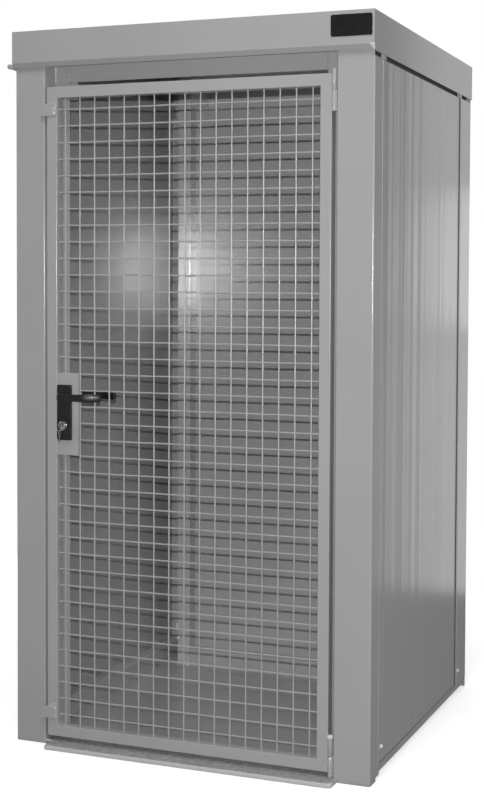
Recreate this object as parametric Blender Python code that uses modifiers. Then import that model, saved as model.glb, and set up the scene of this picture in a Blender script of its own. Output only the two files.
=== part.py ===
"""Gas cylinder container: folded sheet-steel store with a hinged mesh door, one object per piece.

Metres, +Z up, front towards -Y. The origin is the bottom centre of the whole container.
"""
import math

import bmesh
import bpy
from mathutils import Matrix, Vector

# Main sizes of the container, measured over the posts
BODY_W = 1.155
BODY_D = 1.067
ROOF_TOP = 2.179
SEAT = 0.0003

# Sheet thicknesses
POST_T = 0.003
WALL_T = 0.002
ROOF_T = 0.002
FLOOR_T = 0.003

# Folded corner posts: face, return into the rebate, stop flange, side flanges, and at the rear a return and lip
LOCK_POST_FACE = 0.101
HINGE_POST_FACE = 0.112
REBATE = 0.063
STOP_FLANGE = 0.050
FRONT_SIDE_FLANGE = 0.081
REAR_SIDE_FLANGE = 0.139
REAR_RETURN = 0.156
REAR_LIP = 0.048
FOOT_DEPTH = 0.050

# Side walls, tucked behind the post flanges
WALL_DROP = 0.125
WALL_TOP = ROOF_TOP - WALL_DROP
WALL_BOTTOM = 0.040
WALL_LAP = 0.020

# Rear wall panel, set back behind the lips of the rear posts
PANEL_SET_BACK = 0.047

# Base frame, floor and sill
FLOOR_UNDER = 0.010
RAIL_W = 0.045
RAIL_TOP = 0.074
SILL_H = 0.014
SILL_OUT = 0.053
SILL_T = 0.003
SILL_NOTCH = 0.026
SILL_PAST_POST = 0.012
SILL_CORNER_R = 0.012

# Roof tray with its folded front edge and the gutter lip on the left
ROOF_OVER = 0.003
ROOF_FRONT_OVER = 0.016
SIDE_FASCIA = 0.1135
FRONT_FASCIA = 0.095
FRONT_HEM = 0.1085
FASCIA_FOLD = 0.012
LIP_OUT = 0.019
LIP_H = 0.014
LIP_ABOVE_EDGE = 0.003
HEADER_DROP = 0.149
HEADER_BOTTOM = ROOF_TOP - HEADER_DROP
SPACER_L = 0.020
SPACER_W = 0.010
SPACER_H = 0.032

# Blank plate on the front fascia
PLATE_W = 0.123
PLATE_H = 0.061
PLATE_T = 0.0015
PLATE_FROM_RIGHT = 0.006
PLATE_DROP = 0.011

# Door leaf
TUBE = 0.035
LOCK_GAP = 0.0105
HINGE_GAP = 0.0135
DOOR_BOTTOM = 0.028
DOOR_DROP = 0.169
DOOR_TOP = ROOF_TOP - DOOR_DROP
DOOR_PROUD = 0.005

# Welded mesh in the leaf
WIRE = 0.0045
PITCH = 0.050
MESH_LEFT_MARGIN = 0.0206
MESH_TOP_MARGIN = 0.0327

# Lock
CASE_W = 0.0640
PLATE_LOCK_W = 0.0745
CASE_BELOW_HANDLE = 0.179
CASE_H = 0.250
LOCK_PLATE_T = 0.003
HANDLE_Z = 1.075
HANDLE_IN = 0.0285
ESC_W = 0.050
ESC_H = 0.168
ESC_T = 0.008
ESC_BELOW_HANDLE = 0.133
SPINDLE_R = 0.006
SPINDLE_BORE_R = 0.0062
NECK_GAP = 0.0015
LEVER_STAND = 0.045
LEVER_LEN = 0.142
LEVER_HALF_H = 0.0045
LEVER_R = 0.006
LEVER_RETURN = 0.018
CYL_DROP = 0.088
CYL_SHIFT = 0.003
CYL_RING_R = 0.0145
CYL_PLUG_R = 0.0085

# Stop lugs on the lock stile, lapping the post
LUG_W = 0.050
LUG_H = 0.037
LUG_T = 0.004
LUG_LAP = 0.0205
LUG_DROP = 0.088
UPPER_LUG_Z = DOOR_TOP - LUG_DROP
LOWER_LUG_Z = 0.083

# Weld-on hinges, lower half on the post with its pin, upper half on the leaf
BARREL_R = 0.0065
PIN_R = 0.0035
PIN_BORE_R = 0.0039
BARREL_H = 0.120
PIN_UP = 0.045
WING_T = 0.009
HINGE_Y = -0.006
HINGE_DROP = 0.107
UPPER_HINGE_Z = DOOR_TOP - HINGE_DROP
LOWER_HINGE_Z = 0.0155

# Reach of the whole object, which sets where the centre lies
FRONT_REACH = max(SILL_OUT, LEVER_STAND + ESC_T + SEAT + DOOR_PROUD + LEVER_R, ROOF_FRONT_OVER + SEAT + PLATE_T)
X0 = -(BODY_W + ROOF_OVER - (ROOF_OVER + LIP_OUT)) / 2
Y0 = -(BODY_D + ROOF_OVER - FRONT_REACH) / 2

for old in list(bpy.data.objects):
    bpy.data.objects.remove(old)

parts = bpy.data.collections.new("Parts")
cutters = bpy.data.collections.new("Cutters")
bpy.context.scene.collection.children.link(parts)
bpy.context.scene.collection.children.link(cutters)


def material(name, color, metallic, roughness):
    mat = bpy.data.materials.new(name)
    mat.use_nodes = True
    shader = mat.node_tree.nodes["Principled BSDF"]
    shader.inputs["Base Color"].default_value = (*color, 1.0)
    shader.inputs["Metallic"].default_value = metallic
    shader.inputs["Roughness"].default_value = roughness
    return mat


GREY = ("grey_paint", (0.33, 0.34, 0.34), 0.0, 0.35)
GALVANISED = ("galvanised", (0.62, 0.62, 0.60), 0.9, 0.45)
BLACK = ("black_plastic", (0.02, 0.02, 0.02), 0.0, 0.4)
PLATE_BLACK = ("plate_black", (0.015, 0.015, 0.015), 0.0, 0.5)
CHROME = ("chrome_lock", (0.75, 0.75, 0.75), 1.0, 0.2)


def add_object(name, mesh, look, cutter=False):
    obj = bpy.data.objects.new(name, mesh)
    (cutters if cutter else parts).objects.link(obj)
    if cutter:
        obj.hide_render = True
        obj.display_type = "WIRE"
    else:
        label, color, metallic, roughness = look
        mesh.materials.append(material(name + "_" + label, color, metallic, roughness))
    return obj


def mesh_from(name, bm):
    bmesh.ops.recalc_face_normals(bm, faces=bm.faces)
    mesh = bpy.data.meshes.new(name)
    bm.to_mesh(mesh)
    bm.free()
    return mesh


def box(name, x, y, z, look=None, cutter=False):
    """A plain block between the given pairs, in container coordinates."""
    size = Vector((x[1] - x[0], y[1] - y[0], z[1] - z[0]))
    middle = Vector((X0 + (x[0] + x[1]) / 2, Y0 + (y[0] + y[1]) / 2, (z[0] + z[1]) / 2))
    bm = bmesh.new()
    bmesh.ops.create_cube(bm, size=1.0, matrix=Matrix.Diagonal((*size, 1.0)))
    obj = add_object(name, mesh_from(name, bm), look, cutter)
    obj.location = middle
    return obj


def round_edges(obj, width, segments=2, limit=40):
    bevel = obj.modifiers.new("edges", "BEVEL")
    bevel.width = width
    bevel.segments = segments
    bevel.limit_method = "ANGLE"
    bevel.angle_limit = math.radians(limit)
    return bevel


def cut(obj, *tools):
    for tool in tools:
        mod = obj.modifiers.new("cut", "BOOLEAN")
        mod.operation = "DIFFERENCE"
        mod.solver = "EXACT"
        mod.object = tool


def join(obj, tool):
    mod = obj.modifiers.new("join", "BOOLEAN")
    mod.operation = "UNION"
    mod.solver = "EXACT"
    mod.object = tool


def folded(name, path, z, thickness, look, flip=False):
    """A sheet folded along a plan path of outer corners, thickened towards its inside."""
    bm = bmesh.new()
    low = [bm.verts.new((X0 + px, Y0 + py, z[0])) for px, py in path]
    high = [bm.verts.new((X0 + px, Y0 + py, z[1])) for px, py in path]
    for i in range(len(path) - 1):
        bm.faces.new((low[i], low[i + 1], high[i + 1], high[i]))
    mesh = bpy.data.meshes.new(name)
    bm.to_mesh(mesh)
    bm.free()
    obj = add_object(name, mesh, look)
    shell = obj.modifiers.new("sheet", "SOLIDIFY")
    shell.thickness = thickness
    shell.offset = 1.0 if flip else -1.0
    shell.use_even_offset = True
    return obj


def turned(name, profile, x, y, look, steps=24, flip=True):
    """A shape turned about an upright axis at x, y from a closed (radius, height) profile."""
    bm = bmesh.new()
    verts = [bm.verts.new((r, 0.0, h)) for r, h in profile]
    for i in range(len(verts) - 1):
        bm.edges.new((verts[i], verts[i + 1]))
    if profile[0][0] > 0:
        bm.edges.new((verts[-1], verts[0]))
    mesh = bpy.data.meshes.new(name)
    bm.to_mesh(mesh)
    bm.free()
    obj = add_object(name, mesh, look)
    obj.location = (X0 + x, Y0 + y, 0.0)
    screw = obj.modifiers.new("turn", "SCREW")
    screw.axis = "Z"
    screw.steps = steps
    screw.render_steps = steps
    screw.use_merge_vertices = True
    screw.merge_threshold = 0.00001
    screw.use_normal_calculate = True
    screw.use_normal_flip = flip
    return obj


# Corner posts: the rear ones turn forward beside the panel and end in a lip
RIGHT = BODY_W
BACK = BODY_D
post_top = ROOF_TOP - ROOF_T - SEAT
left_front_path = ((0.0, FRONT_SIDE_FLANGE), (0.0, 0.0), (LOCK_POST_FACE, 0.0),
                   (LOCK_POST_FACE, REBATE), (LOCK_POST_FACE + STOP_FLANGE, REBATE))
right_front_path = ((RIGHT, FRONT_SIDE_FLANGE), (RIGHT, 0.0), (RIGHT - HINGE_POST_FACE, 0.0),
                    (RIGHT - HINGE_POST_FACE, REBATE), (RIGHT - HINGE_POST_FACE - STOP_FLANGE, REBATE))
lip_y = BACK - REAR_RETURN
left_return_x = LOCK_POST_FACE + REAR_LIP
right_return_x = RIGHT - HINGE_POST_FACE - REAR_LIP
left_rear_path = ((0.0, BACK - REAR_SIDE_FLANGE), (0.0, BACK), (left_return_x, BACK),
                  (left_return_x, lip_y), (LOCK_POST_FACE, lip_y))
right_rear_path = ((RIGHT, BACK - REAR_SIDE_FLANGE), (RIGHT, BACK), (right_return_x, BACK),
                   (right_return_x, lip_y), (RIGHT - HINGE_POST_FACE, lip_y))
front_left_post = folded("front_left_post", left_front_path, (0.0, post_top), POST_T, GREY)
front_right_post = folded("front_right_post", right_front_path, (0.0, post_top), POST_T, GREY, True)
rear_left_post = folded("rear_left_post", left_rear_path, (0.0, post_top), POST_T, GREY, True)
rear_right_post = folded("rear_right_post", right_rear_path, (0.0, post_top), POST_T, GREY)

# The side flanges stop at the height of the walls, which leaves the slot under the roof
SLOT_CUT = POST_T + 0.001
slot_left = box("slot_left_cutter", (-0.01, SLOT_CUT), (-0.01, BACK + 0.01), (WALL_TOP, post_top + 0.01),
                cutter=True)
slot_right = box("slot_right_cutter", (RIGHT - SLOT_CUT, RIGHT + 0.01), (-0.01, BACK + 0.01),
                 (WALL_TOP, post_top + 0.01), cutter=True)
foot_y = (BACK - REAR_SIDE_FLANGE - 0.01, BACK - POST_T - 0.001)
foot_left = box("foot_left_cutter", (-0.01, SLOT_CUT), foot_y, (-0.01, WALL_BOTTOM), cutter=True)
foot_right = box("foot_right_cutter", (RIGHT - SLOT_CUT, RIGHT + 0.01), foot_y, (-0.01, WALL_BOTTOM),
                 cutter=True)
toe_y = (FOOT_DEPTH, FRONT_SIDE_FLANGE + 0.01)
toe_left = box("toe_left_cutter", (-0.01, SLOT_CUT), toe_y, (-0.01, FLOOR_UNDER), cutter=True)
toe_right = box("toe_right_cutter", (RIGHT - SLOT_CUT, RIGHT + 0.01), toe_y, (-0.01, FLOOR_UNDER), cutter=True)
cut(front_left_post, slot_left, toe_left)
cut(front_right_post, slot_right, toe_right)
cut(rear_left_post, slot_left, foot_left)
cut(rear_right_post, slot_right, foot_right)

# Walls
wall_x = (POST_T + SEAT, POST_T + SEAT + WALL_T)
wall_y = (FRONT_SIDE_FLANGE - WALL_LAP, BACK - REAR_SIDE_FLANGE + WALL_LAP)
wall_z = (WALL_BOTTOM, WALL_TOP)
box("left_wall", wall_x, wall_y, wall_z, GREY)
box("right_wall", (RIGHT - wall_x[1], RIGHT - wall_x[0]), wall_y, wall_z, GREY)
door_bay_x = (LOCK_POST_FACE + SEAT, RIGHT - HINGE_POST_FACE - SEAT)
panel_x = (left_return_x + SEAT, right_return_x - SEAT)
panel_y = lip_y + PANEL_SET_BACK
box("rear_wall", panel_x, (panel_y, panel_y + WALL_T), (FLOOR_UNDER, WALL_TOP), GREY)

# Base frame and floor
floor_top = FLOOR_UNDER + FLOOR_T
rail_x = (wall_x[1] + SEAT, wall_x[1] + SEAT + RAIL_W)
rail_y = (POST_T + SEAT, BACK - POST_T - SEAT)
rail_z = (FLOOR_UNDER, RAIL_TOP)
floor_y = (REBATE + POST_T + SEAT, lip_y - SEAT)
round_edges(box("base_rail_left", rail_x, rail_y, rail_z, GREY), 0.003, 1)
round_edges(box("base_rail_right", (RIGHT - rail_x[1], RIGHT - rail_x[0]), rail_y, rail_z, GREY), 0.003, 1)
round_edges(box("base_rail_rear", panel_x, (lip_y, panel_y - SEAT), rail_z, GREY), 0.003, 1)
box("floor_plate", (rail_x[1] + SEAT, RIGHT - rail_x[1] - SEAT), floor_y, (FLOOR_UNDER, floor_top), GREY)


def sill():
    """Tread sill: a sheet folded down all round its outer edge, one corner round, notched at the lock side."""
    x = (LOCK_POST_FACE + SEAT, RIGHT - HINGE_POST_FACE - SEAT)
    end = RIGHT - HINGE_POST_FACE + SILL_PAST_POST
    notch = x[0] + SILL_NOTCH
    rim = [(x[0], REBATE - SEAT), (x[0], -SEAT), (notch, -SEAT), (notch, -SILL_OUT)]
    for i in range(5):
        turn = math.radians(90 - 22.5 * i)
        rim.append((end - SILL_CORNER_R * (1 - math.cos(turn)), -SILL_OUT + SILL_CORNER_R * (1 - math.sin(turn))))
    rim += [(end, -SEAT), (x[1], -SEAT), (x[1], REBATE - SEAT)]
    bm = bmesh.new()
    top = [bm.verts.new((X0 + px, Y0 + py, SILL_H)) for px, py in rim]
    low = [bm.verts.new((X0 + px, Y0 + py, 0.0)) for px, py in rim]
    bm.faces.new(top)
    for i in range(len(rim)):
        j = (i + 1) % len(rim)
        bm.faces.new((top[i], low[i], low[j], top[j]))
    mesh = bpy.data.meshes.new("door_sill")
    bm.to_mesh(mesh)
    bm.free()
    obj = add_object("door_sill", mesh, GALVANISED)
    shell = obj.modifiers.new("sheet", "SOLIDIFY")
    shell.thickness = SILL_T
    shell.offset = -1.0
    shell.use_even_offset = True
    return obj


sill()

# Header over the door
box("front_header", door_bay_x, (REBATE - SEAT - POST_T, REBATE - SEAT), (HEADER_BOTTOM, post_top), GREY)


def roof():
    """Roof tray: a top sheet with a fascia folded down on each side, the front one hemmed inwards."""
    x = (X0 - ROOF_OVER, X0 + RIGHT + ROOF_OVER)
    y = (Y0 - ROOF_FRONT_OVER, Y0 + BACK + ROOF_OVER)
    edge = ROOF_TOP - SIDE_FASCIA
    bend = ROOF_TOP - FRONT_FASCIA
    hem = ROOF_TOP - FRONT_HEM
    hem_y = y[0] + FASCIA_FOLD
    step_y = hem_y + SIDE_FASCIA - FRONT_HEM
    bm = bmesh.new()
    top = [bm.verts.new(p) for p in ((x[0], y[0], ROOF_TOP), (x[1], y[0], ROOF_TOP),
                                     (x[1], y[1], ROOF_TOP), (x[0], y[1], ROOF_TOP))]
    front = [bm.verts.new((x[0], y[0], bend)), bm.verts.new((x[1], y[0], bend))]
    fold = [bm.verts.new((x[0], hem_y, hem)), bm.verts.new((x[1], hem_y, hem))]
    low = [bm.verts.new((x[0], step_y, edge)), bm.verts.new((x[1], step_y, edge)),
           bm.verts.new((x[1], y[1], edge)), bm.verts.new((x[0], y[1], edge))]
    bm.faces.new(top)
    bm.faces.new((top[0], front[0], front[1], top[1]))
    bm.faces.new((front[0], fold[0], fold[1], front[1]))
    bm.faces.new((top[1], front[1], fold[1], low[1], low[2], top[2]))
    bm.faces.new((top[2], low[2], low[3], top[3]))
    bm.faces.new((top[3], low[3], low[0], fold[0], front[0], top[0]))
    mesh = bpy.data.meshes.new("roof")
    bm.to_mesh(mesh)
    bm.free()
    obj = add_object("roof", mesh, GREY)
    shell = obj.modifiers.new("sheet", "SOLIDIFY")
    shell.thickness = ROOF_T
    shell.offset = -1.0
    shell.solidify_mode = "NON_MANIFOLD"
    shell.nonmanifold_thickness_mode = "CONSTRAINTS"
    return obj


roof()
lip_z = ROOF_TOP - SIDE_FASCIA + LIP_ABOVE_EDGE
lip = box("roof_gutter_lip", (-ROOF_OVER - LIP_OUT, -ROOF_OVER - SEAT),
          (-ROOF_FRONT_OVER, BACK + ROOF_OVER), (lip_z, lip_z + LIP_H), GREY)
round_edges(lip, 0.0055, 3)

spacer_z = (WALL_TOP + SEAT, WALL_TOP + SEAT + SPACER_H)
spacer_x = (-ROOF_OVER + ROOF_T + SEAT, -ROOF_OVER + ROOF_T + SEAT + SPACER_W)
for side, sx in (("left", spacer_x), ("right", (RIGHT - spacer_x[1], RIGHT - spacer_x[0]))):
    for end, middle in (("front", FRONT_SIDE_FLANGE + SPACER_L / 2), ("rear", BACK - REAR_SIDE_FLANGE)):
        sy = (middle - SPACER_L / 2, middle + SPACER_L / 2)
        box("roof_spacer_" + end + "_" + side, sx, sy, spacer_z, GREY)

plate_x = (RIGHT + ROOF_OVER - PLATE_FROM_RIGHT - PLATE_W, RIGHT + ROOF_OVER - PLATE_FROM_RIGHT)
plate_y = (-ROOF_FRONT_OVER - SEAT - PLATE_T, -ROOF_FRONT_OVER - SEAT)
plate_z = (ROOF_TOP - PLATE_DROP - PLATE_H, ROOF_TOP - PLATE_DROP)
box("blank_plate", plate_x, plate_y, plate_z, PLATE_BLACK)

# Door leaf: frame of square tube
leaf_x = (LOCK_POST_FACE + LOCK_GAP, RIGHT - HINGE_POST_FACE - HINGE_GAP)
leaf_y = (-DOOR_PROUD, -DOOR_PROUD + TUBE)
open_x = (leaf_x[0] + TUBE, leaf_x[1] - TUBE)
open_z = (DOOR_BOTTOM + TUBE, DOOR_TOP - TUBE)
rail_span = (open_x[0] + SEAT, open_x[1] - SEAT)
for name, tx, tz in (("door_lock_stile", (leaf_x[0], open_x[0]), (DOOR_BOTTOM, DOOR_TOP)),
                     ("door_hinge_stile", (open_x[1], leaf_x[1]), (DOOR_BOTTOM, DOOR_TOP)),
                     ("door_top_rail", rail_span, (open_z[1], DOOR_TOP)),
                     ("door_bottom_rail", rail_span, (DOOR_BOTTOM, open_z[0]))):
    round_edges(box(name, tx, leaf_y, tz, GREY), 0.003)

# Welded mesh: bars fused in one plane, in two nodes
mesh_y = (leaf_y[0] + leaf_y[1]) / 2
upright_count = 1 + int((open_x[1] - open_x[0] - MESH_LEFT_MARGIN - WIRE) / PITCH)
cross_count = 1 + int((open_z[1] - open_z[0] - MESH_TOP_MARGIN - WIRE) / PITCH)
uprights = [open_x[0] + MESH_LEFT_MARGIN + i * PITCH for i in range(upright_count)]
crosses = [open_z[1] - MESH_TOP_MARGIN - i * PITCH for i in range(cross_count)]
upper_half = cross_count // 2
split_z = (crosses[upper_half - 1] + crosses[upper_half]) / 2


def stations(low, high, centres):
    """Edges of all bars between low and high, in order, each with whether a bar follows it."""
    out = [(low, False)]
    for c in sorted(centres):
        out.append((c - WIRE / 2, True))
        out.append((c + WIRE / 2, False))
    out.append((high, False))
    return out


def lattice(name, z_low, z_high):
    xs = stations(open_x[0] + SEAT, open_x[1] - SEAT, uprights)
    zs = stations(z_low, z_high, [c for c in crosses if z_low < c < z_high])
    bm = bmesh.new()
    grid = {}
    for i in range(len(xs) - 1):
        for j in range(len(zs) - 1):
            if not (xs[i][1] or zs[j][1]):
                continue
            corners = []
            for a, b in ((i, j), (i + 1, j), (i + 1, j + 1), (i, j + 1)):
                if (a, b) not in grid:
                    grid[(a, b)] = bm.verts.new((X0 + xs[a][0], Y0 + mesh_y, zs[b][0]))
                corners.append(grid[(a, b)])
            bm.faces.new(corners)
    mesh = bpy.data.meshes.new(name)
    bm.to_mesh(mesh)
    bm.free()
    obj = add_object(name, mesh, GREY)
    shell = obj.modifiers.new("bars", "SOLIDIFY")
    shell.thickness = WIRE
    shell.offset = 0.0
    return obj


mesh_upper = lattice("door_mesh_upper", split_z + SEAT / 2, open_z[1] - SEAT)
mesh_lower = lattice("door_mesh_lower", open_z[0] + SEAT, split_z - SEAT / 2)

# Lock case behind a thin front plate, with the mesh cut out round the case
case_x = (open_x[0] + SEAT, open_x[0] + CASE_W)
case_z = (HANDLE_Z - CASE_BELOW_HANDLE, HANDLE_Z - CASE_BELOW_HANDLE + CASE_H)
case_y = (leaf_y[0] + LOCK_PLATE_T + SEAT, leaf_y[1])
lock_case = box("lock_case", case_x, case_y, case_z, GREY)
lock_plate = box("lock_plate", (case_x[0], open_x[0] + PLATE_LOCK_W), (leaf_y[0], leaf_y[0] + LOCK_PLATE_T),
                 case_z, GREY)
case_cutter = box("mesh_case_cutter", (open_x[0] - 0.005, case_x[1] + SEAT), (leaf_y[0] - 0.01, leaf_y[1] + 0.01),
                  (case_z[0] - SEAT, case_z[1] + SEAT), cutter=True)
cut(mesh_upper, case_cutter)
cut(mesh_lower, case_cutter)

handle_x = open_x[0] + HANDLE_IN
esc_x = (handle_x - ESC_W / 2, handle_x + ESC_W / 2)
esc_z = (HANDLE_Z - ESC_BELOW_HANDLE, HANDLE_Z - ESC_BELOW_HANDLE + ESC_H)
outer_y = (leaf_y[0] - SEAT - ESC_T, leaf_y[0] - SEAT)
inner_y = (leaf_y[1] + SEAT, leaf_y[1] + SEAT + ESC_T)
esc_outer = box("escutcheon_outer", esc_x, outer_y, esc_z, BLACK)
esc_inner = box("escutcheon_inner", esc_x, inner_y, esc_z, BLACK)


def cylinder_y(name, radius, y, x, z, look=None, cutter=False, sides=24):
    """A round bar along Y between the given pair."""
    bm = bmesh.new()
    turn = Matrix.Rotation(math.radians(90), 4, "X")
    bmesh.ops.create_cone(bm, cap_ends=True, segments=sides, radius1=radius, radius2=radius,
                          depth=y[1] - y[0], matrix=turn)
    obj = add_object(name, mesh_from(name, bm), look, cutter)
    obj.location = (X0 + x, Y0 + (y[0] + y[1]) / 2, z)
    return obj


bore = cylinder_y("spindle_bore_cutter", SPINDLE_BORE_R, (outer_y[0] - 0.01, inner_y[1] + 0.01), handle_x,
                  HANDLE_Z, cutter=True)
for piece in (lock_case, lock_plate, esc_outer, esc_inner):
    cut(piece, bore)
round_edges(esc_outer, 0.0025, 1, 60)
round_edges(esc_inner, 0.0025, 1, 60)

cyl_x = handle_x - CYL_SHIFT
cyl_z = HANDLE_Z - CYL_DROP
cyl = turned("lock_cylinder", ((0.0, 0.0), (CYL_RING_R, 0.0), (CYL_RING_R, 0.003), (CYL_RING_R - 0.002, 0.005),
                               (CYL_PLUG_R + 0.001, 0.005), (CYL_PLUG_R, 0.008), (0.0, 0.008)),
             cyl_x, outer_y[0] - SEAT, CHROME, 16, flip=False)
cyl.location.z = cyl_z
cyl.rotation_euler = (math.radians(90), 0.0, 0.0)

# Stop lugs welded to the lock stile
for name, z in (("upper_stop_lug", UPPER_LUG_Z), ("lower_stop_lug", LOWER_LUG_Z)):
    lug_x = (leaf_x[0] - LUG_LAP, leaf_x[0] - LUG_LAP + LUG_W)
    round_edges(box(name, lug_x, (leaf_y[0] - SEAT - LUG_T, leaf_y[0] - SEAT), (z, z + LUG_H), GREY), 0.001, 1)

# Hinges
hinge_x = leaf_x[1] + HINGE_GAP / 2
for name, z in (("upper", UPPER_HINGE_Z), ("lower", LOWER_HINGE_Z)):
    mid = z + BARREL_H / 2
    end = z + BARREL_H
    post_half = ((0.0, z), (BARREL_R - 0.001, z), (BARREL_R, z + 0.001), (BARREL_R, mid - SEAT),
                 (PIN_R, mid - SEAT), (PIN_R, mid + PIN_UP), (0.0, mid + PIN_UP))
    leaf_half = ((PIN_BORE_R, mid), (BARREL_R, mid), (BARREL_R, end - 0.001), (BARREL_R - 0.001, end),
                 (0.0, end), (0.0, mid + PIN_UP + 0.001), (PIN_BORE_R, mid + PIN_UP + 0.001))
    lower = turned(name + "_hinge_post_half", post_half, hinge_x, HINGE_Y, GREY, 14)
    upper = turned(name + "_hinge_leaf_half", leaf_half, hinge_x, HINGE_Y, GREY, 14)
    wing_y = (HINGE_Y, HINGE_Y + WING_T)
    wing_near = PIN_BORE_R + 0.0008
    post_wing = box(name + "_post_wing_shape", (hinge_x + wing_near, hinge_x + HINGE_GAP / 2 - SEAT), wing_y,
                    (z + 0.004, mid - 0.004), cutter=True)
    leaf_wing = box(name + "_leaf_wing_shape", (hinge_x - HINGE_GAP / 2 + SEAT, hinge_x - wing_near), wing_y,
                    (mid + 0.004, end - 0.004), cutter=True)
    join(lower, post_wing)
    join(upper, leaf_wing)

# Lever handles, each bent from one bar, on a shared spindle
neck_out = outer_y[0] - NECK_GAP
neck_in = inner_y[1] + NECK_GAP
grip_out = outer_y[0] - LEVER_STAND
grip_in = inner_y[1] + LEVER_STAND
spindle = cylinder_y("lever_spindle", SPINDLE_R, (neck_out + SEAT, neck_in - SEAT), handle_x, HANDLE_Z,
                     CHROME, sides=16)


def lever(name, neck, grip):
    """A lever bent out from its neck, along the leaf and back towards it at the tip."""
    toward = 1.0 if neck > grip else -1.0
    tip_x = LEVER_LEN - LEVER_R
    route = ((0.0, neck - grip), (0.0, toward * 0.016), (0.003, toward * 0.007), (0.008, toward * 0.002),
             (0.016, 0.0), (tip_x - 0.014, 0.0), (tip_x - 0.005, toward * 0.002), (tip_x, toward * 0.007),
             (tip_x, toward * LEVER_RETURN))
    curve = bpy.data.curves.new(name, "CURVE")
    curve.dimensions = "3D"
    curve.twist_mode = "Z_UP"
    curve.bevel_depth = LEVER_R
    curve.bevel_resolution = 1
    curve.extrude = LEVER_HALF_H
    curve.use_fill_caps = True
    curve.render_resolution_u = 0
    spline = curve.splines.new("POLY")
    spline.points.add(len(route) - 1)
    for point, (px, py) in zip(spline.points, route):
        point.co = (px, py, 0.0, 1.0)
    obj = bpy.data.objects.new(name, curve)
    parts.objects.link(obj)
    label, color, metallic, roughness = BLACK
    curve.materials.append(material(name + "_" + label, color, metallic, roughness))
    obj.location = (X0 + handle_x, Y0 + grip, HANDLE_Z)
    return obj


lever("lever_outer", neck_out, grip_out)
lever("lever_inner", neck_in, grip_in)


def pivot(name, at, names):
    """An empty on a joint's axis that carries the pieces which turn about it."""
    empty = bpy.data.objects.new(name, None)
    empty.location = at
    empty.empty_display_size = 0.1
    parts.objects.link(empty)
    for child in names:
        obj = bpy.data.objects[child]
        obj.parent = empty
        obj.matrix_parent_inverse = Matrix.Translation(-Vector(at))
    return empty


LEAF = ("door_lock_stile", "door_hinge_stile", "door_top_rail", "door_bottom_rail", "door_mesh_upper",
        "door_mesh_lower", "lock_case", "lock_plate", "escutcheon_outer", "escutcheon_inner",
        "lock_cylinder", "upper_stop_lug", "lower_stop_lug", "upper_hinge_leaf_half",
        "lower_hinge_leaf_half")
pivot("door_pivot", (X0 + hinge_x, Y0 + HINGE_Y, HANDLE_Z), LEAF)
pivot("lever_pivot", (X0 + handle_x, Y0 + mesh_y, HANDLE_Z), ("lever_outer", "lever_inner", "lever_spindle"))
bpy.data.objects["lever_pivot"].parent = bpy.data.objects["door_pivot"]
bpy.data.objects["lever_pivot"].matrix_parent_inverse = bpy.data.objects["door_pivot"].matrix_basis.inverted()
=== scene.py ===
import math
import random

import bmesh
import bpy
from mathutils import Matrix, Vector


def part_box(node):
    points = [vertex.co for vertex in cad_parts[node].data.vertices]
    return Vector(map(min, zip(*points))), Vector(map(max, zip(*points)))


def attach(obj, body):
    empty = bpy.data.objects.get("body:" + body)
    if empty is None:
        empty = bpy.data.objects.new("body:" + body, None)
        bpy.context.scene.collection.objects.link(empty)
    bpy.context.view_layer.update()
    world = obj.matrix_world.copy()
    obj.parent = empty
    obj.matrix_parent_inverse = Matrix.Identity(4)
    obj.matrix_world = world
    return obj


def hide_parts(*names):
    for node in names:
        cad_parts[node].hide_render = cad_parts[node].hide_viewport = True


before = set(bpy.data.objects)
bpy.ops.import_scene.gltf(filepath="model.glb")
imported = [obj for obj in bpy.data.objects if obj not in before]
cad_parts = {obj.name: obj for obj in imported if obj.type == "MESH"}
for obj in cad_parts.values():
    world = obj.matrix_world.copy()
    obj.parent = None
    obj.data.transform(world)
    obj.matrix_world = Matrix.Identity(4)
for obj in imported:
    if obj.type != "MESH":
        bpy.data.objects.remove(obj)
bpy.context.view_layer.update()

random.seed(7)

# Outer faces of the container at its posts, and the height of its walls
left_post_low, left_post_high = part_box("front_left_post")
LEFT_X = left_post_low.x
RIGHT_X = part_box("front_right_post")[1].x
FRONT_Y = left_post_low.y
REAR_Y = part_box("rear_left_post")[1].y
BODY_W = RIGHT_X - LEFT_X
BODY_D = REAR_Y - FRONT_Y
POST_TOP = left_post_high.z
WALL_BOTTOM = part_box("right_wall")[0].z
WALL_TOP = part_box("right_wall")[1].z

# Sizes of the folded sheets that the frame's boxes don't tell
POST_T = 0.003
LOCK_FACE = 0.101
HINGE_FACE = 0.112
REBATE = 0.063
STOP = 0.050
REAR_RETURN = 0.156
REAR_LIP = 0.048
FRONT_FLANGE = 0.081
REAR_FLANGE = 0.139
FOOT_DEPTH = 0.050
FLOOR_UNDER = 0.010
BEND_OUT = 0.0046
BEND_IN = 0.0016

# Angles from which an edge counts as sharp, on folded steel, turned parts and rounded ones
STEEL_EDGE = math.radians(38)
TURNED_EDGE = math.radians(50)
ROUND_EDGE = math.radians(60)


def at(x, y, z):
    """A point given in container coordinates: from the left front corner of the posts, on the ground."""
    return Vector((LEFT_X + x, FRONT_Y + y, z))


# Materials

def new_material(name, colour, roughness, metallic=0.0, specular=0.5):
    mat = bpy.data.materials.new(name)
    mat.use_nodes = True
    shader = mat.node_tree.nodes["Principled BSDF"]
    values = {"Base Color": (*colour, 1.0), "Roughness": roughness, "Metallic": metallic,
              "Specular IOR Level": specular}
    for socket, value in values.items():
        shader.inputs[socket].default_value = value
    return mat, mat.node_tree, shader


def add_node(tree, kind, values, links):
    """A shader node with these input values and these links into it."""
    node = tree.nodes.new(kind)
    for socket, value in values.items():
        node.inputs[socket].default_value = value
    for socket, source in links.items():
        tree.links.new(source, node.inputs[socket])
    return node


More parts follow.
